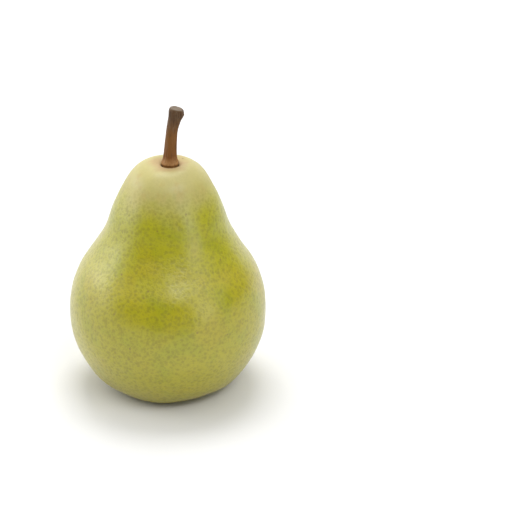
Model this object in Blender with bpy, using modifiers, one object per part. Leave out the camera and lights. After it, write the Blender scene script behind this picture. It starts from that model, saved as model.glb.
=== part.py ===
"""A whole dessert pear with its stem, standing on the small flat spot under its belly.

Metres, +Z up. The origin is on the resting plane, under the middle of the fruit.
The fruit is one solid, skin and flesh grown together. Its stem sits in a socket in the shoulder.
Underneath, the dried flower is still in the calyx: five sepals round the mouth of a short tube,
and inside the tube a ring of stamens round the styles.
"""

from math import cos, hypot, pi, radians, sin

import bmesh
import bpy
import numpy as np
from mathutils import Matrix, Vector

MM = 0.001
GAP = 0.3 * MM  # between pieces that touch in the real fruit

# Driving dimensions of the fruit
BELLY_RADIUS = 35.0 * MM
BODY_HEIGHT = 85.8 * MM
AROUND = 60  # facets round the fruit
ALONG = 46  # facets down its outline

# The outline of the skin from the stem's socket down to the calyx tube, each point as
# (share of the belly's radius, share of the body's height).
SHOULDER = [(0.085, 0.9950), (0.130, 0.9985), (0.225, 0.9995), (0.352, 0.966)]
NECK = [(0.467, 0.888), (0.557, 0.803), (0.633, 0.710), (0.753, 0.620), (0.900, 0.522)]
BELLY = [(0.983, 0.420), (1.000, 0.326), (0.969, 0.227), (0.863, 0.130), (0.717, 0.047)]
BASE = [(0.545, 0.0065), (0.400, -0.0075), (0.285, 0.018), (0.180, 0.050)]
CALYX_TUBE = [(0.112, 0.070), (0.078, 0.092), (0.048, 0.107), (0.0, 0.112)]
OUTLINE = SHOULDER + NECK + BELLY + BASE + CALYX_TUBE

# How the fruit departs from a turned shape
NECK_SWAY = Vector((0.95 * MM, -0.7 * MM))  # how far the top leans from the middle
LOBE_RISE = 0.28 * MM  # five lobes round the base, one for each seed chamber
LOBE_TOP = 0.35 * BODY_HEIGHT  # where the lobes have died out
WAVE_RISE = 0.28 * MM  # broad unevenness of the whole skin
SWELL_FROM = Vector((0, 0, 0.36 * BODY_HEIGHT))  # the skin swells away from this point
SWELL_RADIUS = 0.34 * BELLY_RADIUS  # nearer the axis the swelling fades out
STEM_ASIDE = Vector((0.8 * MM, 0.0))  # how far the stem stands off the middle of the shoulder
STEM_ASIDE_FROM = 0.30 * BELLY_RADIUS  # the skin nearer the stem than this moves with it

# The stem: (height above the shoulder, sideways lean, radius, depth over width) for each ring
SOCKET_DEPTH = 4.0 * MM
SOCKET_RADIUS = OUTLINE[0][0] * BELLY_RADIUS
SHOULDER_HEIGHT = OUTLINE[0][1] * BODY_HEIGHT
STEM_SIDES = 12
STEM_LEAN_TO = radians(-20)  # direction in which the knob leans, from +X
STEM_RINGS = [
    (0.30 * MM, 0.00 * MM, 2.95 * MM, 1.00),
    (0.60 * MM, 0.00 * MM, 3.30 * MM, 1.00),
    (1.10 * MM, 0.00 * MM, 3.05 * MM, 1.00),
    (2.60 * MM, 0.05 * MM, 2.50 * MM, 0.97),
    (5.90 * MM, 0.26 * MM, 2.28 * MM, 0.95),
    (9.00 * MM, 0.52 * MM, 2.15 * MM, 0.94),
    (12.40 * MM, 0.90 * MM, 2.05 * MM, 0.94),
    (15.30 * MM, 1.50 * MM, 2.32 * MM, 0.93),
    (17.60 * MM, 2.15 * MM, 2.62 * MM, 0.92),
    (19.90 * MM, 2.68 * MM, 2.75 * MM, 0.92),
    (21.20 * MM, 2.78 * MM, 2.40 * MM, 0.92),
    (21.60 * MM, 2.75 * MM, 1.70 * MM, 0.92),
]
STEM_END_TILT = radians(16)  # the broken end faces a little towards the lean

# The dried flower
SEPALS = 5
SEPAL_ROOT = 3.9 * MM  # from the axis
SEPAL_LENGTH = 5.0 * MM
SEPAL_WIDTH = 3.0 * MM
SEPAL_THICKNESS = 0.5 * MM
SEPAL_CLEARANCE = 0.75 * MM  # from the skin to the middle of the sepal's thickness
SEPAL_TROUGH = 0.3 * MM  # how far its edges bend away from the skin
SEPAL_CURL = [0.6 * MM, 0.2 * MM, 0.8 * MM, 0.4 * MM, 0.1 * MM]
SEPAL_TWIST = [0.10, -0.22, 0.18, -0.12, 0.25]  # radians about the sepal's own length
STAMENS = 10
STAMEN_RING = 1.35 * MM
STAMEN_RADIUS = 0.22 * MM
STAMEN_LENGTH = [4.6 * MM, 3.7 * MM, 4.9 * MM, 4.1 * MM, 3.4 * MM]
STAMEN_SPLAY = [0.9 * MM, 1.7 * MM]  # every other one stands further out
STYLES = 5
STYLE_RING = 0.62 * MM
STYLE_RADIUS = 0.20 * MM
STYLE_SPLAY = 0.1 * MM
STYLE_LENGTH = [3.2 * MM, 2.7 * MM, 3.6 * MM, 3.0 * MM, 2.5 * MM]
TUBE_FLOOR = OUTLINE[-1][1] * BODY_HEIGHT - 1.15 * MM  # where the filaments begin


def clear_scene():
    for obj in list(bpy.data.objects):
        bpy.data.objects.remove(obj, do_unlink=True)


def new_collection(name):
    collection = bpy.data.collections.new(name)
    bpy.context.scene.collection.children.link(collection)
    return collection


def new_material(name, colour, roughness, metallic=0.0):
    material = bpy.data.materials.new(name)
    material.use_nodes = True
    shader = material.node_tree.nodes["Principled BSDF"]
    shader.inputs["Base Color"].default_value = (*colour, 1.0)
    shader.inputs["Roughness"].default_value = roughness
    shader.inputs["Metallic"].default_value = metallic
    return material


def new_object(name, mesh, collection, material):
    obj = bpy.data.objects.new(name, mesh)
    collection.objects.link(obj)
    obj.data.materials.append(material)
    return obj


def finished_mesh(obj):
    """The object's mesh as its modifiers leave it."""
    graph = bpy.context.evaluated_depsgraph_get()
    return bpy.data.meshes.new_from_object(obj.evaluated_get(graph))


def add_subdivision(obj, levels):
    smoother = obj.modifiers.new("smoother", "SUBSURF")
    smoother.levels = levels
    smoother.render_levels = levels


def spline_through(points, count):
    """count points, evenly spaced, on a natural cubic spline through the given points."""
    points = np.array(points)
    steps = np.hypot(*np.diff(points, axis=0).T)
    at = np.concatenate([[0.0], np.cumsum(steps)])
    n = len(points)
    # The second derivatives solve a tridiagonal system with free ends.
    system = np.eye(n)
    wanted = np.zeros((n, 2))
    for i in range(1, n - 1):
        system[i, i - 1 : i + 2] = steps[i - 1], 2 * (steps[i - 1] + steps[i]), steps[i]
        rise_after = (points[i + 1] - points[i]) / steps[i]
        rise_before = (points[i] - points[i - 1]) / steps[i - 1]
        wanted[i] = 6 * (rise_after - rise_before)
    bend = np.linalg.solve(system, wanted)
    found = []
    for s in np.linspace(0.0, at[-1], count):
        i = min(int(np.searchsorted(at, s, side="right")) - 1, n - 2)
        h, left, right = steps[i], s - at[i], at[i + 1] - s
        cubic = (bend[i] * right**3 + bend[i + 1] * left**3) / (6 * h)
        start = (points[i] / h - bend[i] * h / 6) * right
        end = (points[i + 1] / h - bend[i + 1] * h / 6) * left
        found.append(cubic + start + end)
    return found


def skin_outline():
    """(radius, height) down the skin, in metres, ending on the axis in the calyx tube."""
    points = [(r * BELLY_RADIUS, z * BODY_HEIGHT) for r, z in OUTLINE]
    outline = [(float(r), float(z)) for r, z in spline_through(points, ALONG + 1)]
    outline[-1] = (0.0, outline[-1][1])
    return outline


def swelling(point):
    """How far the skin stands out beyond the turned shape at this point of it."""
    angle = np.arctan2(point.y, point.x)
    share = point.z / BODY_HEIGHT
    lobes = LOBE_RISE * cos(SEPALS * angle + 2.0) * max(0.0, 1 - point.z / LOBE_TOP) ** 1.5
    oval = cos(2 * angle - 0.6 + 1.6 * share) * sin(pi * min(1.0, share + 0.1))
    uneven = 0.7 * cos(3 * angle - 0.9 - 2.5 * share) * sin(2 * pi * share)
    fade = min(1.0, hypot(point.x, point.y) / SWELL_RADIUS) ** 2
    return fade * (lobes + WAVE_RISE * (oval + uneven))


def sway(height):
    """How far the fruit's middle has moved sideways at this height."""
    return NECK_SWAY * max(0.0, height / BODY_HEIGHT) ** 3


def stem_shift(point):
    """How far the skin round the stem has moved sideways with it."""
    if point.z < 0.9 * BODY_HEIGHT:
        return Vector((0.0, 0.0))
    distance = hypot(point.x, point.y)
    return STEM_ASIDE * min(1.0, max(0.0, 2 - 2 * distance / STEM_ASIDE_FROM))


def make_body(collection, material):
    """The fruit, turned from its outline, made uneven and pressed flat where it stands.

    Returns how far it moved sideways to stand centred, which its small pieces follow.
    """
    floor = SHOULDER_HEIGHT - SOCKET_DEPTH
    profile = [(0.0, floor), (SOCKET_RADIUS, floor), *skin_outline()]
    mesh = bpy.data.meshes.new("outline")
    edges = [(i, i + 1) for i in range(len(profile) - 1)]
    mesh.from_pydata([(r, 0.0, z) for r, z in profile], edges, [])
    turned = new_object("turned_body", mesh, collection, material)
    screw = turned.modifiers.new("turn", "SCREW")
    screw.steps = AROUND
    screw.render_steps = AROUND
    screw.use_merge_vertices = True
    screw.merge_threshold = 0.01 * MM
    body = new_object("pear_body", finished_mesh(turned), collection, material)
    bpy.data.objects.remove(turned)
    for vertex in body.data.vertices:
        point = vertex.co.copy()
        lean = sway(point.z) + stem_shift(point)
        point += (point - SWELL_FROM).normalized() * swelling(point)
        vertex.co = (point.x + lean.x, point.y + lean.y, max(0.0, point.z))
    moved = centre_on_origin(body)
    body.data.shade_smooth()
    body.data.set_sharp_from_angle(angle=radians(40))
    return moved


def centre_on_origin(obj):
    """Moves the mesh sideways so that its widest stretches are centred on the origin."""
    low = Vector(map(min, *[v.co for v in obj.data.vertices]))
    high = Vector(map(max, *[v.co for v in obj.data.vertices]))
    middle = (low + high) / 2
    moved = Vector((-middle.x, -middle.y, 0.0))
    obj.data.transform(Matrix.Translation(moved))
    return moved


def make_stem(collection, material, offset):
    """The stem: rings extruded up from its root, a broad foot on the skin, and a knob at its end."""
    base = Vector((*(sway(SHOULDER_HEIGHT) + STEM_ASIDE), SHOULDER_HEIGHT)) + offset
    root_radius = SOCKET_RADIUS - GAP
    root_rings = [(GAP - SOCKET_DEPTH, 0.0, root_radius, 1.0), (0.15 * MM, 0.0, root_radius, 1.0)]
    lean = Vector((cos(STEM_LEAN_TO), sin(STEM_LEAN_TO), 0.0))
    shape = bmesh.new()
    bmesh.ops.create_circle(shape, cap_ends=True, segments=STEM_SIDES, radius=1.0)
    face = shape.faces[:][0]
    unit = [vertex.co.copy() for vertex in face.verts]
    rings = root_rings + STEM_RINGS
    for number, (height, aside, radius, flatness) in enumerate(rings):
        if number:
            face = bmesh.ops.extrude_discrete_faces(shape, faces=[face])["faces"][0]
        tilt = STEM_END_TILT * max(0.0, (height - rings[-4][0]) / (rings[-1][0] - rings[-4][0]))
        turn = Matrix.Rotation(tilt, 3, Vector((0, 0, 1)).cross(lean))
        for vertex, place in zip(face.verts, unit):
            ring_point = turn @ Vector((place.x * radius, place.y * radius * flatness, 0.0))
            vertex.co = base + lean * aside + Vector((0, 0, height)) + ring_point
    bmesh.ops.holes_fill(shape, edges=shape.edges)  # the root's end
    bmesh.ops.recalc_face_normals(shape, faces=shape.faces)
    mesh = bpy.data.meshes.new("stem")
    shape.to_mesh(mesh)
    shape.free()
    stem = new_object("stem", mesh, collection, material)
    add_subdivision(stem, 1)
    mesh.shade_smooth()
    return stem


def basin_height(radius, outline):
    """The height of the skin inside the calyx basin, at this distance from the axis."""
    basin = [(r, z) for r, z in outline if z < 0.2 * BODY_HEIGHT and r < BASE[1][0] * BELLY_RADIUS]
    basin.sort()
    return float(np.interp(radius, [r for r, _ in basin], [z for _, z in basin]))


def make_sepal(number, collection, material, outline, offset):
    """One dried sepal: a narrow leaf that follows the basin outwards and curls away at its tip."""
    name = f"sepal_{number + 1}"
    leaf = bmesh.new()
    bmesh.ops.create_grid(leaf, x_segments=4, y_segments=2, size=0.5)
    turn = Matrix.Rotation(2 * pi * (number + 0.3) / SEPALS, 4, "Z")
    for vertex in leaf.verts:
        along = vertex.co.x + 0.5
        across = vertex.co.y
        width = SEPAL_WIDTH * (0.75 + 0.9 * along - 1.5 * along**2)
        radius = SEPAL_ROOT + along * SEPAL_LENGTH
        clearance = SEPAL_CLEARANCE + SEPAL_CURL[number] * along**2
        trough = SEPAL_TROUGH * (2 * across) ** 2
        twist = SEPAL_TWIST[number] * along * across * width
        height = basin_height(radius, outline) - clearance - trough + twist
        vertex.co = turn @ Vector((radius, across * width, height)) + offset
    mesh = bpy.data.meshes.new(name)
    leaf.to_mesh(mesh)
    leaf.free()
    sepal = new_object(name, mesh, collection, material)
    thickness = sepal.modifiers.new("thickness", "SOLIDIFY")
    thickness.thickness = SEPAL_THICKNESS
    thickness.offset = 0.0
    add_subdivision(sepal, 1)
    mesh.shade_smooth()
    return sepal


def make_filament(name, collection, material, angle, sizes, offset):
    """A dried thread that hangs from the tube's floor and bends outwards by splay at its tip."""
    ring, radius, length, splay = sizes
    curve = bpy.data.curves.new(name, "CURVE")
    curve.dimensions = "3D"
    curve.bevel_depth = radius
    curve.bevel_resolution = 1
    curve.use_fill_caps = True
    spline = curve.splines.new("POLY")
    steps = 6
    spline.points.add(steps)
    for i, point in enumerate(spline.points):
        along = i / steps
        out = ring + splay * along**2
        turned = angle + 0.06 * sin(pi * along)
        point.co = (out * cos(turned), out * sin(turned), TUBE_FLOOR - length * along, 1.0)
        point.radius = 1.0 - 0.35 * along
    filament = bpy.data.objects.new(name, curve)
    filament.location = offset
    collection.objects.link(filament)
    curve.materials.append(material)
    return filament


def make_stamens(collection, material, offset):
    for i in range(STAMENS):
        angle = 2 * pi * (i + 0.5) / STAMENS
        length = STAMEN_LENGTH[i % len(STAMEN_LENGTH)]
        splay = STAMEN_SPLAY[i % 2]
        name = f"stamen_{i + 1}"
        sizes = STAMEN_RING, STAMEN_RADIUS, length, splay
        make_filament(name, collection, material, angle, sizes, offset)


def make_styles(collection, material, offset):
    for i in range(STYLES):
        angle = 2 * pi * i / STYLES + 0.3
        name = f"style_{i + 1}"
        sizes = STYLE_RING, STYLE_RADIUS, STYLE_LENGTH[i], STYLE_SPLAY
        make_filament(name, collection, material, angle, sizes, offset)


def main():
    clear_scene()
    pear = new_collection("pear")
    skin = new_material("pear_skin", (0.42, 0.40, 0.055), 0.38)
    bark = new_material("stem_bark", (0.16, 0.075, 0.03), 0.65)
    dry_leaf = new_material("dried_sepal", (0.11, 0.055, 0.025), 0.85)
    dry_thread = new_material("dried_filament", (0.05, 0.022, 0.012), 0.9)
    offset = make_body(pear, skin)
    make_stem(pear, bark, offset)
    outline = skin_outline()
    for number in range(SEPALS):
        make_sepal(number, pear, dry_leaf, outline, offset)
    make_stamens(pear, dry_thread, offset)
    make_styles(pear, dry_thread, offset)


main()
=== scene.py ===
from math import atan2, cos, hypot, pi, radians, sin

import bpy
from mathutils import Matrix, Vector, noise


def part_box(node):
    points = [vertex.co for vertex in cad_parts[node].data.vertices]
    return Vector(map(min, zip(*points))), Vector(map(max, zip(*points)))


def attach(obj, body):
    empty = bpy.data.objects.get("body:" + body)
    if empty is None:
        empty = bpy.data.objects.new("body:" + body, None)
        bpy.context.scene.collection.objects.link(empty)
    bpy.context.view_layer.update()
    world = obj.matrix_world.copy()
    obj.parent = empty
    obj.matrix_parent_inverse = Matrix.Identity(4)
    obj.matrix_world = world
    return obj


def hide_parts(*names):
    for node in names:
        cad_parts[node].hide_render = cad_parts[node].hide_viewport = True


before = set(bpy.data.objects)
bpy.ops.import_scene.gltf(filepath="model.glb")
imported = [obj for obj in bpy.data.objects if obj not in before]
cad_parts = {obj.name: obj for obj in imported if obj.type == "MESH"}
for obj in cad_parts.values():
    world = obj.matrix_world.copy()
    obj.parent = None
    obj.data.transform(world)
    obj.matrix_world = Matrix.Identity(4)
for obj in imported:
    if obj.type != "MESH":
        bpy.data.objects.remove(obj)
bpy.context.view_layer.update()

mm = 0.001


# Modelling helpers

def startRing(name, sides, ring):
    # an open circle in edit mode, all of it selected, ready to be drawn out
    centre, radius, depth = ring
    bpy.ops.object.select_all(action="DESELECT")
    bpy.ops.mesh.primitive_circle_add(vertices=sides, radius=radius, fill_type="NOTHING", location=centre)
    piece = bpy.context.object
    piece.name = name
    piece.data.name = name
    bpy.ops.object.mode_set(mode="EDIT")
    bpy.ops.mesh.select_mode(type="EDGE")
    bpy.ops.mesh.select_all(action="SELECT")
    bpy.ops.transform.resize(value=(1, depth, 1), center_override=centre)
    return piece


def drawOut(rings):
    # extrudes the selected ring from one (centre, radius, depth over width) to the next
    for (centre, radius, depth), (nextCentre, nextRadius, nextDepth) in zip(rings, rings[1:]):
        grow = nextRadius / radius
        bpy.ops.mesh.extrude_region_move(TRANSFORM_OT_translate={"value": nextCentre - centre})
        size = (grow, grow * nextDepth / depth, 1)
        bpy.ops.transform.resize(value=size, center_override=nextCentre)


def drawnPiece(name, sides, rings, smooth):
    # a closed piece drawn out through its rings, then rounded off
    piece = startRing(name, sides, rings[0])
    drawOut(rings)
    bpy.ops.mesh.select_all(action="DESELECT")
    bpy.ops.mesh.select_non_manifold()
    bpy.ops.mesh.fill_holes(sides=0)
    bpy.ops.mesh.select_all(action="SELECT")
    bpy.ops.mesh.normals_make_consistent(inside=False)
    bpy.ops.object.mode_set(mode="OBJECT")
    settle(piece, smooth)
    return piece


def settle(piece, smooth):
    # puts the piece's place into its mesh and rounds it off
    bpy.ops.object.select_all(action="DESELECT")
    piece.select_set(True)
    bpy.context.view_layer.objects.active = piece
    bpy.ops.object.transform_apply(location=True, rotation=True, scale=True)
    if smooth:
        rounding = piece.modifiers.new("rounding", "SUBSURF")
        rounding.levels = smooth
        rounding.render_levels = smooth
        bpy.ops.object.modifier_apply(modifier="rounding")
    bpy.ops.object.shade_smooth()


def nudge(piece, move):
    # moves every point of the piece by what move says for its place
    for vertex in piece.data.vertices:
        vertex.co += move(vertex.co.copy())
    piece.data.update()


def throughPoints(points, count):
    # a smooth run of count points through the given (radius, height) points
    samples = 32  # between each pair of points
    points = [Vector((r, z, 0)) for r, z in points]
    ends = [2 * points[0] - points[1]], [2 * points[-1] - points[-2]]
    held = ends[0] + points + ends[1]
    run = []
    for i in range(1, len(held) - 2):
        before, start, end, after = held[i - 1:i + 3]
        spans = (before, start), (start, end), (end, after)
        steps = [max(1e-6, (b - a).length ** 0.5) for a, b in spans]
        first, second, third = steps
        leave = (start - before) / first - (end - before) / (first + second) + (end - start) / second
        arrive = (end - start) / second - (after - start) / (second + third) + (after - end) / third
        for k in range(samples):
            t = k / samples
            run.append((2*t**3 - 3*t**2 + 1) * start + (t**3 - 2*t**2 + t) * second * leave
                       + (3*t**2 - 2*t**3) * end + (t**3 - t**2) * second * arrive)
    run.append(points[-1])
    lengths = [0.0]
    for a, b in zip(run, run[1:]):
        lengths.append(lengths[-1] + (b - a).length)
    found, i = [], 0
    for k in range(count):
        goal = lengths[-1] * k / (count - 1)
        while i < len(run) - 2 and lengths[i + 1] < goal:
            i += 1
        share = (goal - lengths[i]) / max(1e-9, lengths[i + 1] - lengths[i])
        found.append(run[i].lerp(run[i + 1], min(1.0, share)))
    return [(p.x, p.y) for p in found]


def smoothStep(value, low, high):
    share = min(1.0, max(0.0, (value - low) / (high - low)))
    return share * share * (3 - 2 * share)


# Shader helpers

class Wire:
    # one output socket, which takes + - * / and ** like a number
    def __init__(self, finish, socket):
        self.finish = finish
        self.socket = socket

    def calc(self, operation, *others):
        values = {i + 1: other for i, other in enumerate(others)}
        return self.finish.add("ShaderNodeMath", {"operation": operation}, {0: self, **values})

    def turned(self, operation, first):
        return self.finish.add("ShaderNodeMath", {"operation": operation}, {0: first, 1: self})

    def __add__(self, other):
        return self.calc("ADD", other)

    def __sub__(self, other):
        return self.calc("SUBTRACT", other)

    def __mul__(self, other):
        return self.calc("MULTIPLY", other)

    def __truediv__(self, other):
        return self.calc("DIVIDE", other)

    def __pow__(self, other):
        return self.calc("POWER", other)

    def __rsub__(self, other):
        return self.turned("SUBTRACT", other)

    __radd__ = __add__
    __rmul__ = __mul__


class Finish:
    # the nodes of a material or a sky in the making
    def __init__(self, holder, surface, place, **look):
        holder.use_nodes = True
        self.holder = holder
        self.tree = holder.node_tree
        self.surface = self.tree.nodes[surface]
        for socket, value in look.items():
            self.surface.inputs[socket.replace("_", " ")].default_value = value
        self.place = self.add("ShaderNodeTexCoord", out=place)

    def add(self, kind, settings=(), sockets=(), out=0):
        node = self.tree.nodes.new(kind)
        for setting, value in dict(settings).items():
            if setting == "stops":
                ramp = node.color_ramp
                while len(ramp.elements) < len(value):
                    ramp.elements.new(0.5)
                for element, (position, colour) in zip(ramp.elements, value):
                    element.position = position
                    element.color = (*colour, 1)
            else:
                setattr(node, setting, value)
        for socket, value in dict(sockets).items():
            self.feed(node.inputs[socket], value)
        return Wire(self, node.outputs[out])

    def feed(self, socket, value):
        if isinstance(value, Wire):
            self.tree.links.new(value.socket, socket)
        elif isinstance(value, (tuple, list, Vector)) and len(value) == 3 and socket.type == "RGBA":
            socket.default_value = (*value, 1)
        else:
            socket.default_value = value

    def wear(self, socket, value):
        self.feed(self.surface.inputs[socket], value)

    def axes(self):
        split = self.add("ShaderNodeSeparateXYZ", sockets={0: self.place})
        return [Wire(self, output) for output in split.socket.node.outputs]

    def stretched(self, scale):
        return self.add("ShaderNodeMapping", sockets={"Vector": self.place, "Scale": scale})

    def moved(self, shift):
        return self.add("ShaderNodeMapping", sockets={"Vector": self.place, "Location": shift})

    def cloud(self, size, detail=3.0, rough=0.5, at=None, wobble=0.0):
        # soft noise with lumps of about this size in metres, 0 to 1
        values = {"Vector": at or self.place, "Scale": 1 / size, "Detail": detail, "Roughness": rough,
                  "Distortion": wobble}
        return self.add("ShaderNodeTexNoise", sockets=values, out="Fac")

    def cells(self, size):
        # scattered points this far apart: 0 at each point, rising away from it
        values = {"Vector": self.place, "Scale": 1 / size}
        return self.add("ShaderNodeTexVoronoi", sockets=values, out="Distance")

    def fade(self, value, low, high):
        # 0 below low, 1 above high, smooth between; low above high turns it round
        values = {"Value": value, "From Min": low, "From Max": high}
        return self.add("ShaderNodeMapRange", {"interpolation_type": "SMOOTHSTEP"}, values)

    def mix(self, mask, first, second, how="MIX"):
        settings = {"data_type": "RGBA", "blend_type": how, "clamp_factor": True}
        return self.add("ShaderNodeMix", settings, {0: mask, 6: first, 7: second}, out=2)

    def ramp(self, value, stops):
        return self.add("ShaderNodeValToRGB", {"stops": stops}, {"Fac": value}, out="Color")

    def bump(self, height, deep, strength):
        values = {"Height": height, "Distance": deep, "Strength": strength}
        return self.add("ShaderNodeBump", sockets=values, out="Normal")


def newFinish(name, **look):
    return Finish(bpy.data.materials.new(name), "Principled BSDF", "Object", **look)


# The fruit

fruit = {
    "bellyRadius": 35.0 * mm,
    "height": 85.8 * mm,
    "sides": 64,
    "rings": 58,
    "socketDepth": 4.0 * mm,
    "socket": [(0.5, 1.0), (1.0, 0.97), (1.0, 0.5)],  # shares of the mouth's radius and of the depth
    "rounding": 2,
    # the outline from the stem's socket down to the calyx tube: shares of belly radius and height
    "outline": [(0.085, 0.9950), (0.130, 0.9985), (0.225, 0.9995), (0.352, 0.966), (0.467, 0.888),
                (0.557, 0.803), (0.633, 0.710), (0.753, 0.620), (0.900, 0.522), (0.983, 0.420),
                (1.000, 0.326), (0.969, 0.227), (0.863, 0.130), (0.717, 0.047), (0.545, 0.0065),
                (0.400, -0.0075), (0.285, 0.018), (0.180, 0.050), (0.112, 0.070), (0.078, 0.092),
                (0.048, 0.107), (0.010, 0.112)],
    "sway": Vector((0.95 * mm, -0.7 * mm, 0)),  # how far the shoulder leans over
    "lobes": 5,
    "lobeRise": 0.28 * mm,
    "lobeTop": 0.35,
    "waveRise": 0.28 * mm,
    "calmRadius": 0.34,  # the swellings die away inside this share of the belly radius
    "middle": 0.36,  # the height, as a share, that the swellings point away from
    "stemAside": Vector((0.8 * mm, 0, 0)),  # how far the stem stands off the middle of the shoulder
    "asideFrom": 0.30,
    "asideAbove": 0.9,
    "dimples": [(9 * mm, 0.16 * mm), (4 * mm, 0.055 * mm)],  # (size, depth) of the skin's unevenness
    "seed": Vector((3.1, 7.7, 1.9)),
}


def swayAt(height):
    return fruit["sway"] * max(0.0, height / fruit["height"]) ** 3


def swelling(point):
    # how far the skin stands out beyond the turned shape
    angle = atan2(point.y, point.x)
    share = point.z / fruit["height"]
    lobes = fruit["lobeRise"] * cos(fruit["lobes"] * angle + 2.0)
    lobes *= max(0.0, 1 - share / fruit["lobeTop"]) ** 1.5
    oval = cos(2 * angle - 0.6 + 1.6 * share) * sin(pi * min(1.0, share + 0.1))
    uneven = 0.7 * cos(3 * angle - 0.9 - 2.5 * share) * sin(2 * pi * share)
    small = sum(depth * noise.noise(point / size + fruit["seed"]) for size, depth in fruit["dimples"])
    fade = min(1.0, hypot(point.x, point.y) / (fruit["calmRadius"] * fruit["bellyRadius"])) ** 2
    return fade * (lobes + fruit["waveRise"] * (oval + uneven) + small)


def stemShift(point):
    # the skin round the stem has moved sideways with it
    if point.z < fruit["asideAbove"] * fruit["height"]:
        return Vector((0, 0, 0))
    distance = hypot(point.x, point.y) / (fruit["asideFrom"] * fruit["bellyRadius"])
    return fruit["stemAside"] * min(1.0, max(0.0, 2 - 2 * distance))


def pressSkin(point):
    # uneven, leaning a little, and flat where it stands
    outwards = (point - Vector((0, 0, fruit["middle"] * fruit["height"]))).normalized()
    swollen = point + outwards * swelling(point) + swayAt(point.z) + stemShift(point)
    swollen.z = max(0.0, swollen.z)
    return swollen - point


def makeFruit():
    radius, height = fruit["bellyRadius"], fruit["height"]
    outline = throughPoints([(r * radius, z * height) for r, z in fruit["outline"]], fruit["rings"])
    mouthRadius, mouthHeight = outline[0]
    depth = fruit["socketDepth"]
    socket = [(mouthRadius * wide, mouthHeight - depth * deep) for wide, deep in fruit["socket"]]
    rings = [(Vector((0, 0, z)), r, 1.0) for r, z in socket + outline]
    piece = drawnPiece("pearBody", fruit["sides"], rings, fruit["rounding"])
    nudge(piece, pressSkin)
    low = Vector(map(min, *[v.co for v in piece.data.vertices]))
    high = Vector(map(max, *[v.co for v in piece.data.vertices]))
    boxLow, boxHigh = [Vector(corner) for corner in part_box("pear_body")]
    moved = (boxLow + boxHigh - low - high) / 2
    moved.z = 0
    piece.data.transform(Matrix.Translation(moved))
    return piece, moved


skin = {
    "belly": (0.430, 0.385, 0.005),
    "neck": (0.420, 0.400, 0.006),
    "green": (0.345, 0.360, 0.003),
    "blush": (0.440, 0.350, 0.006),
    # partly painted glow: a paler cream for the top of the neck, where the light from above falls, on top
    # of the skin's own paler shoulder
    "shoulder": (0.500, 0.440, 0.150),
    # painted shade: a darker skin colour for the bottom of the fruit
    "base": (0.370, 0.315, 0.006),
    "gold": (0.440, 0.320, 0.070),
    "russet": (0.480, 0.330, 0.150),
    "dot": (0.190, 0.170, 0.002),
    "fleck": (0.200, 0.120, 0.025),
    "dotSpacing": 1.5 * mm,
    "dotShare": 0.50,
    "fleckSpacing": 6.5 * mm,
    "broad": 26 * mm,  # the sizes of the skin's patches, from the widest to the finest
    "warm": 13 * mm,
    "patches": 10 * mm,
    "fine": 2.4 * mm,
    "grain": 0.8 * mm,
    "relief": 0.07 * mm,
    "roughness": 0.31,
    "gloss": 0.7,
    "coat": 0.25,
}


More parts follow.
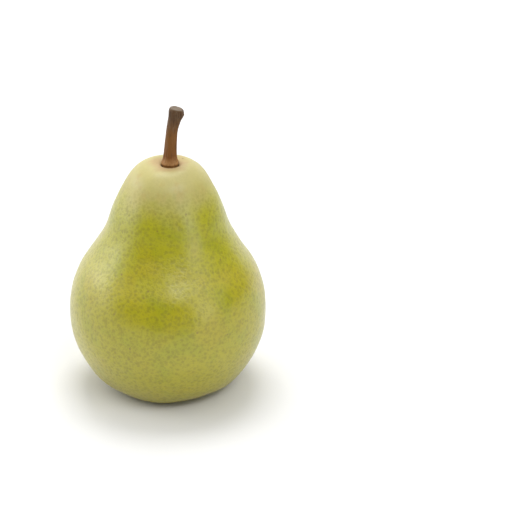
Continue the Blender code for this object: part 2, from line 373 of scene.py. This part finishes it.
def skinFinish(moved):
    look = newFinish("pear_skin_look", Roughness=skin["roughness"], Specular_IOR_Level=skin["gloss"],
                     Coat_Weight=skin["coat"], Coat_Roughness=0.25)
    x, y, z = look.axes()
    share = z / fruit["height"]
    top = swayAt(fruit["height"]) + fruit["stemAside"] + moved
    fromStem = ((x - top.x) ** 2.0 + (y - top.y) ** 2.0) ** 0.5
    broad = look.cloud(skin["broad"], 2.0)
    patches = look.cloud(skin["patches"], 3.0, 0.55, wobble=0.4)
    fine = look.cloud(skin["fine"], 3.0, 0.6)
    grain = look.cloud(skin["grain"], 2.0)

    # yellow belly, greener neck, a paler cream top that is partly the skin's own colour and partly a
    # painted glow of the light from above, and a base darkened by painted shade, with drifting green and
    # warm patches
    colour = look.mix(look.fade(share + (broad - 0.5) * 0.3, 0.50, 0.78), skin["belly"], skin["neck"])
    colour = look.mix(look.fade(patches, 0.46, 0.68) * 0.55, colour, skin["green"])
    warm = look.cloud(skin["warm"], 3.0, at=look.moved((0.3, 0.1, 0.2)))
    colour = look.mix(look.fade(warm, 0.50, 0.70) * 0.5, colour, skin["blush"])
    # partly painted glow: the top of the neck is paled to cream where the light from above falls
    colour = look.mix(look.fade(share + (patches - 0.5) * 0.16, 0.79, 0.99), colour, skin["shoulder"])
    # painted shade: the skin is darkened towards the bottom, below about a sixth of the height
    colour = look.mix(look.fade(share + (broad - 0.5) * 0.1, 0.17, 0.02) * 0.8, colour, skin["base"])
    goldPatch = look.fade(patches * 0.7 + fine * 0.3, 0.49, 0.60) * look.fade(share, 0.88, 0.94)
    colour = look.mix(goldPatch * look.fade(share, 0.995, 0.97) * 0.5, colour, skin["gold"])

    # tan skin in a ring round the stem and round the calyx
    aroundStem = look.fade(fromStem + (patches - 0.5) * (7 * mm), 8.5 * mm, 4.2 * mm)
    aroundStem = aroundStem * look.fade(share, 0.8, 0.9)
    aroundCalyx = look.fade(fromStem + (patches - 0.5) * (8 * mm), 11 * mm, 4 * mm)
    aroundCalyx = aroundCalyx * look.fade(share, 0.2, 0.1)
    russet = aroundStem.calc("MAXIMUM", aroundCalyx)
    colour = look.mix(russet * (0.65 + 0.5 * fine), colour, skin["russet"])

    # breathing pores: soft dark spots of uneven shape all over, small ones between them, and a few flecks
    spots = look.fade(look.cells(skin["dotSpacing"]) + (grain - 0.5) * 0.5, 0.62, 0.16)
    small = look.fade(look.cells(skin["dotSpacing"] * 0.55) + (grain - 0.5) * 0.4, 0.50, 0.22)
    dots = spots.calc("MAXIMUM", small * 0.7) * (0.50 + 0.7 * look.cloud(8 * mm, 2.0))
    dots = dots * look.fade(share, 0.97, 0.82)
    colour = look.mix(dots * skin["dotShare"], colour, skin["dot"])
    flecks = look.fade(look.cells(skin["fleckSpacing"]), 0.085, 0.05) * look.fade(patches, 0.42, 0.55)
    colour = look.mix(flecks * 0.6, colour, skin["fleck"])
    shade = 0.78 + 0.16 * fine + 0.12 * grain
    grey = look.add("ShaderNodeCombineColor", sockets={0: shade, 1: shade, 2: shade})
    look.wear("Base Color", look.mix(1.0, colour, grey, "MULTIPLY"))

    satin = 0.16 * look.fade(share, 0.80, 0.93)  # the shoulder is duller than the rest
    look.wear("Roughness", skin["roughness"] + 0.10 * (fine - 0.5) + 0.25 * russet + 0.08 * dots + satin)
    look.wear("Coat Weight", skin["coat"] * (1 - russet) * (1 - 4 * satin))
    relief = grain * 0.5 - dots * 0.6 + russet * fine * 1.2 + 0.8 * fine
    look.wear("Normal", look.bump(relief, skin["relief"], 0.8))
    return look.holder


# The stem

stem = {
    "sides": 28,
    "leanTo": radians(-20),
    # (height above the shoulder, sideways lean, radius, depth over width)
    "rings": [(0.10, 0.00, 2.65, 1.00), (0.25, 0.00, 2.95, 1.00), (0.50, 0.00, 3.25, 1.00),
              (0.90, 0.00, 3.15, 1.00), (1.60, 0.02, 2.70, 0.98), (2.70, 0.05, 2.38, 0.97),
              (4.30, 0.15, 2.26, 0.96), (5.90, 0.26, 2.20, 0.95), (9.00, 0.52, 2.08, 0.94),
              (11.6, 0.80, 1.99, 0.94), (13.7, 1.10, 2.04, 0.94), (15.3, 1.50, 2.20, 0.93),
              (16.9, 1.94, 2.40, 0.92), (18.2, 2.40, 2.62, 0.92), (19.4, 2.66, 2.76, 0.92),
              (20.4, 2.76, 2.60, 0.92), (21.1, 2.76, 2.20, 0.92), (21.4, 2.74, 1.65, 0.92),
              (21.35, 2.72, 1.10, 0.92), (21.4, 2.72, 0.40, 0.92)],
    "endTilt": radians(16),
    "ridges": [(4, 0.035, 0.6), (7, 0.03, 1.9), (13, 0.018, 4.0)],  # (how many, how deep, where they start)
    "lumps": [(2.6 * mm, 0.28 * mm), (1.1 * mm, 0.12 * mm)],
}


def stemRings(shoulder):
    lean = Vector((cos(stem["leanTo"]), sin(stem["leanTo"]), 0))
    root = stem["rings"][0]
    rings = [(shoulder - Vector((0, 0, fruit["socketDepth"] - 0.5 * mm)), root[2] * mm, 1.0)]
    for height, aside, radius, depth in stem["rings"]:
        rings.append((shoulder + lean * aside * mm + Vector((0, 0, height * mm)), radius * mm, depth))
    return rings


def asideAt(rise):
    # the stem's sideways lean at this height, in mm
    for (low, start, *_), (high, end, *_) in zip(stem["rings"], stem["rings"][1:]):
        if low <= rise <= high:
            return start + (end - start) * (rise - low) / (high - low)
    return 0.0 if rise < 1 else stem["rings"][-1][1]


def makeStem(moved):
    mouth = fruit["outline"][0][1] * fruit["height"]
    shoulder = moved + swayAt(mouth) + fruit["stemAside"] + Vector((0, 0, mouth))
    piece = drawnPiece("pearStem", stem["sides"], stemRings(shoulder), 2)
    lean = Vector((cos(stem["leanTo"]), sin(stem["leanTo"]), 0))
    top = shoulder.z + stem["rings"][-1][0] * mm

    def roughen(point):
        rise = (point.z - shoulder.z) / mm
        if rise < -0.2:
            return Vector((0, 0, 0))
        middle = shoulder + lean * asideAt(rise) * mm
        out = Vector((point.x - middle.x, point.y - middle.y, 0))
        angle = atan2(out.y, out.x)
        spread = out.length
        turned = angle + 0.02 * rise
        ridge = sum(depth * cos(count * turned + start) for count, depth, start in stem["ridges"])
        foot = smoothStep(rise, 0.2, 2.5)
        knob = smoothStep(rise, 15, 20)
        lumpy = sum(depth * noise.noise(point / size + fruit["seed"]) for size, depth in stem["lumps"])
        move = out.normalized() * (spread * ridge * foot + lumpy * (0.25 + 0.9 * knob))
        tilt = smoothStep(rise, 18, 22) * sin(stem["endTilt"])
        move.z = -tilt * out.dot(lean) * 0.9 + 0.3 * mm * knob * noise.noise(point / (1.6 * mm))
        return move

    nudge(piece, roughen)
    return piece, shoulder, top


bark = {
    "foot": (0.36, 0.18, 0.062),
    "low": (0.200, 0.076, 0.016),
    "middle": (0.190, 0.078, 0.015),
    "high": (0.100, 0.052, 0.022),
    "face": (0.20, 0.155, 0.11),
    "crack": (0.035, 0.016, 0.007),
    "steps": [(0.05, "foot"), (0.16, "low"), (0.5, "middle"), (0.85, "high")],  # from foot to knob
    "streaks": 0.55 * mm,
    "blotches": 2.4 * mm,
    "hairs": 0.4 * mm,
    "relief": 0.25 * mm,
}


def barkFinish(shoulder, top):
    look = newFinish("stem_bark_look", Roughness=0.5, Specular_IOR_Level=0.2)
    rise = (look.axes()[2] - shoulder.z) / (top - shoulder.z)
    streaks = look.cloud(bark["streaks"], 4.0, 0.6, at=look.stretched((1, 1, 0.09)))
    blotches = look.cloud(bark["blotches"], 3.0, 0.6)
    stops = [(position, bark[tone]) for position, tone in bark["steps"]]
    colour = look.ramp(rise + (blotches - 0.5) * 0.12, stops)
    colour = look.mix(look.fade(streaks, 0.52, 0.72) * (0.15 + 0.35 * rise), colour, bark["face"])
    colour = look.mix(look.fade(streaks, 0.44, 0.30) * 0.75, colour, bark["crack"])
    # the upward faces of the stem's end are paled to grey: partly the cut end's own grey colour, partly a
    # painted highlight where the light from above falls
    facing = look.add("ShaderNodeNewGeometry", out="Normal")
    upward = look.add("ShaderNodeSeparateXYZ", sockets={0: facing}, out="Z")
    cutEndAndPaintedHighlight = look.fade(upward, 0.55, 0.85) * look.fade(rise, 0.88, 0.95)
    colour = look.mix(cutEndAndPaintedHighlight * (0.6 + 0.4 * blotches), colour, bark["face"])
    look.wear("Base Color", colour)
    look.wear("Roughness", 0.42 + 0.25 * blotches)
    look.wear("Normal", look.bump(streaks + 0.6 * look.cloud(bark["hairs"]), bark["relief"], 0.7))
    return look.holder


# The dried flower underneath

flower = {
    "sepals": 5,
    "sepalRoot": 3.9 * mm,
    "sepalLength": 5.0 * mm,
    "sepalWidth": 3.0 * mm,
    "sepalThick": 0.35 * mm,
    "sepalLift": 0.75 * mm,
    "curl": [0.6 * mm, 0.2 * mm, 0.8 * mm, 0.4 * mm, 0.1 * mm],
    "twist": [0.10, -0.22, 0.18, -0.12, 0.25],
    "stamens": 10,
    "stamenRing": 1.35 * mm,
    "stamenRadius": 0.20 * mm,
    "stamenLength": [4.6 * mm, 3.7 * mm, 4.9 * mm, 4.1 * mm, 3.4 * mm],
    "stamenSplay": [0.9 * mm, 1.7 * mm],
    "styles": 5,
    "styleRing": 0.62 * mm,
    "styleRadius": 0.17 * mm,
    "styleLength": [3.2 * mm, 2.7 * mm, 3.6 * mm, 3.0 * mm, 2.5 * mm],
    "styleSplay": 0.1 * mm,
    "tubeDrop": 1.15 * mm,
    "threadSides": 8,
    "threadSteps": 9,
    "stamenTip": 1.9,  # how much thicker than the thread
    "styleTip": 1.4,
    "sepalTones": [(0.3, (0.035, 0.015, 0.008)), (0.55, (0.13, 0.06, 0.025)), (0.75, (0.30, 0.19, 0.10))],
    "sepalVein": (0.03, 0.014, 0.008),
    "threadTones": [(0.3, (0.018, 0.009, 0.006)), (0.7, (0.12, 0.055, 0.025))],
}


def basinHeight(radius):
    # how high the basin's skin stands at this distance from the middle
    edge = min(range(len(fruit["outline"])), key=lambda i: fruit["outline"][i][1])
    points = [(r * fruit["bellyRadius"], z * fruit["height"]) for r, z in fruit["outline"][edge:]]
    for (outer, low), (inner, high) in zip(points, points[1:]):
        if inner <= radius <= outer:
            return high + (low - high) * (radius - inner) / (outer - inner)
    return points[-1][1]


def makeSepal(number, moved):
    bpy.ops.object.select_all(action="DESELECT")
    bpy.ops.mesh.primitive_grid_add(x_subdivisions=9, y_subdivisions=5, size=1.0, location=(0.5, 0, 0))
    piece = bpy.context.object
    piece.name = f"pearSepal{number + 1}"
    piece.data.name = piece.name
    bpy.ops.object.transform_apply(location=True)
    turn = Matrix.Rotation(2 * pi * (number + 0.3) / flower["sepals"], 4, "Z")
    for vertex in piece.data.vertices:
        along, across = vertex.co.x, vertex.co.y
        width = flower["sepalWidth"] * (0.75 + 0.9 * along - 1.5 * along ** 2)
        width *= 1 + 0.12 * noise.noise(Vector((along * 4, number * 3.0, across * 2)))
        radius = flower["sepalRoot"] + along * flower["sepalLength"]
        lift = flower["sepalLift"] + flower["curl"][number] * along ** 2 + 0.3 * mm * (2 * across) ** 2
        crinkle = 0.22 * mm * noise.noise(Vector((along * 5 + number * 7, across * 5, 0)))
        height = basinHeight(radius) - lift + flower["twist"][number] * along * across * width + crinkle
        vertex.co = turn @ Vector((radius, across * width, height)) + moved
    thick = piece.modifiers.new("thick", "SOLIDIFY")
    thick.thickness = flower["sepalThick"]
    thick.offset = 0
    bpy.ops.object.modifier_apply(modifier="thick")
    settle(piece, 1)
    return piece


def makeThread(name, angle, ring, radius, length, splay, tip, moved):
    # a dried thread from the tube's floor down, with a thicker tip
    start = fruit["outline"][-1][1] * fruit["height"] - flower["tubeDrop"]
    steps = flower["threadSteps"]
    rings = []
    for i in range(steps + 1):
        along = i / steps
        out = ring + splay * along ** 2
        turned = angle + 0.06 * sin(pi * along)
        swell = smoothStep(along, 0.72, 0.88) * smoothStep(along, 1.12, 0.98)
        size = radius * (1.0 - 0.35 * along) * (1 + (tip - 1) * swell)
        centre = Vector((out * cos(turned), out * sin(turned), start - length * along)) + moved
        rings.append((centre, size, 1.0))
    piece = drawnPiece(name, flower["threadSides"], rings, 1)
    nudge(piece, lambda point: 0.06 * mm * noise.noise_vector(point / (0.9 * mm)))
    return piece


def sepalFinish():
    look = newFinish("dried_sepal_look", Roughness=0.8)
    blotches = look.cloud(1.2 * mm, 4.0, 0.6)
    veins = look.cloud(0.5 * mm, 3.0, 0.6, at=look.stretched((1, 1, 0.3)))
    colour = look.ramp(blotches, flower["sepalTones"])
    look.wear("Base Color", look.mix(look.fade(veins, 0.55, 0.7) * 0.5, colour, flower["sepalVein"]))
    look.wear("Roughness", 0.7 + 0.25 * veins)
    look.wear("Normal", look.bump(veins + blotches, 0.12 * mm, 0.8))
    return look.holder


def threadFinish():
    look = newFinish("dried_filament_look", Roughness=0.85)
    look.wear("Base Color", look.ramp(look.cloud(0.7 * mm), flower["threadTones"]))
    look.wear("Normal", look.bump(look.cloud(0.25 * mm), 0.08 * mm, 0.8))
    return look.holder


def place(piece, node, slot, material):
    piece.data.materials.clear()
    piece.data.materials.append(material)
    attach(piece, "root")
    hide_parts(node)


body, moved = makeFruit()
place(body, "pear_body", "pear_skin", skinFinish(moved))
print("fruit done:", len(body.data.polygons), "faces")

stalk, shoulder, stalkTop = makeStem(moved)
place(stalk, "stem", "stem_bark", barkFinish(shoulder, stalkTop))
print("stem done:", len(stalk.data.polygons), "faces")

driedLeaf = sepalFinish()
driedThread = threadFinish()
for number in range(flower["sepals"]):
    place(makeSepal(number, moved), f"sepal_{number + 1}", "dried_sepal", driedLeaf)
for i in range(flower["stamens"]):
    length = flower["stamenLength"][i % len(flower["stamenLength"])]
    splay = flower["stamenSplay"][i % len(flower["stamenSplay"])]
    thread = makeThread(f"pearStamen{i + 1}", 2 * pi * (i + 0.5) / flower["stamens"], flower["stamenRing"],
                        flower["stamenRadius"], length, splay, flower["stamenTip"], moved)
    place(thread, f"stamen_{i + 1}", "dried_filament", driedThread)
for i in range(flower["styles"]):
    thread = makeThread(f"pearStyle{i + 1}", 2 * pi * i / flower["styles"] + 0.3, flower["styleRing"],
                        flower["styleRadius"], flower["styleLength"][i], flower["styleSplay"],
                        flower["styleTip"], moved)
    place(thread, f"style_{i + 1}", "dried_filament", driedThread)
print("flower done")


# The studio

studio = {
    "floorSize": 6.0,
    "floorColour": (0.79, 0.79, 0.79),
    "floorTint": (0.76, 0.76, 0.755),
    "sky": 0.80,
    "horizon": 0.90,
    "frontDim": 0.98,
    "rightDim": 0.96,
    # where the sky starts to dim and where it is dimmest: degrees from the front towards the right,
    # and for top and foot the sine of the elevation
    "frontLeft": (-76, -54),
    "frontRight": (40, 32),
    "frontTop": (0.62, 0.38),
    "frontFoot": (-0.62, -0.42),
    "gapLeft": (58, 68),
    "gapRight": (140, 116),
    "gapTop": (0.50, 0.25),
    "aim": Vector((31.7 * mm, 0, 49.4 * mm)),
    "cameraRise": radians(26),
    "cameraDistance": 0.8,
    "lens": 158.0,
    "sensor": 36.0,
    "softboxHeight": 45 * mm,  # the softboxes face this point above the floor
    # softboxes: (name, degrees from the front towards the right, elevation, distance, width, height,
    # radiance)
    "softboxes": [("overhead", 180, 70, 0.9, 0.50, 0.46, 6.2),
                  ("window", 32, 48, 1.1, 0.74, 0.30, 4.3),
                  ("sideWindow", 44, 16, 1.1, 0.14, 0.36, 2.2),
                  ("leftPanel", -105, 24, 1.0, 0.70, 0.40, 2.6)],
}


def makeFloor():
    bpy.ops.object.select_all(action="DESELECT")
    bpy.ops.mesh.primitive_plane_add(size=studio["floorSize"], location=(0, 0, 0))
    floor = bpy.context.object
    floor.name = "studioFloor"
    look = newFinish("studio_floor", Roughness=0.7)
    grain = look.cloud(20 * mm, 2.0)
    look.wear("Base Color", look.mix(grain * 0.05, studio["floorColour"], studio["floorTint"]))
    floor.data.materials.append(look.holder)


def makeSky():
    # bright all round and low down, dim in front and low on the right
    world = bpy.data.worlds.new("studio")
    bpy.context.scene.world = world
    sky = Finish(world, "Background", "Generated", Color=(1, 1, 1, 1))
    x, y, z = sky.axes()
    side = x.calc("ARCTAN2", 0 - y) * (180 / pi)  # degrees from the front towards the right
    front = sky.fade(side, *studio["frontLeft"]) * sky.fade(side, *studio["frontRight"])
    front = front * sky.fade(z, *studio["frontTop"]) * sky.fade(z, *studio["frontFoot"])
    right = sky.fade(side, *studio["gapLeft"]) * sky.fade(side, *studio["gapRight"])
    right = right * sky.fade(z, *studio["gapTop"]) * sky.fade(z, *studio["frontFoot"])
    level = sky.fade(z.calc("ABSOLUTE"), 0.6, 0.1)
    strength = studio["sky"] + studio["horizon"] * level
    strength = strength * (1 - studio["frontDim"] * front) * (1 - studio["rightDim"] * right)
    sky.wear("Strength", strength)


def makeSoftbox(name, azimuth, elevation, distance, width, height, radiance):
    lamp = bpy.data.lights.new(name, "AREA")
    lamp.shape = "RECTANGLE"
    lamp.size, lamp.size_y = width, height
    lamp.energy = pi * width * height * radiance
    softbox = bpy.data.objects.new(name, lamp)
    bpy.context.scene.collection.objects.link(softbox)
    side, up = radians(azimuth), radians(elevation)
    towards = Vector((sin(side) * cos(up), -cos(side) * cos(up), sin(up)))
    softbox.location = Vector((0, 0, studio["softboxHeight"])) + towards * distance
    softbox.rotation_euler = towards.to_track_quat("Z", "Y").to_euler()


def makeCamera():
    lens = bpy.data.cameras.new("camera")
    lens.lens = studio["lens"]
    lens.sensor_width = studio["sensor"]
    camera = bpy.data.objects.new("camera", lens)
    bpy.context.scene.collection.objects.link(camera)
    rise = studio["cameraRise"]
    back = Vector((0, -cos(rise), sin(rise)))
    camera.location = studio["aim"] + back * studio["cameraDistance"]
    camera.rotation_euler = back.to_track_quat("Z", "Y").to_euler()
    bpy.context.scene.camera = camera


makeFloor()
makeSky()
for softbox in studio["softboxes"]:
    makeSoftbox(*softbox)
makeCamera()
bpy.context.scene.view_settings.view_transform = "Standard"
print("studio done")
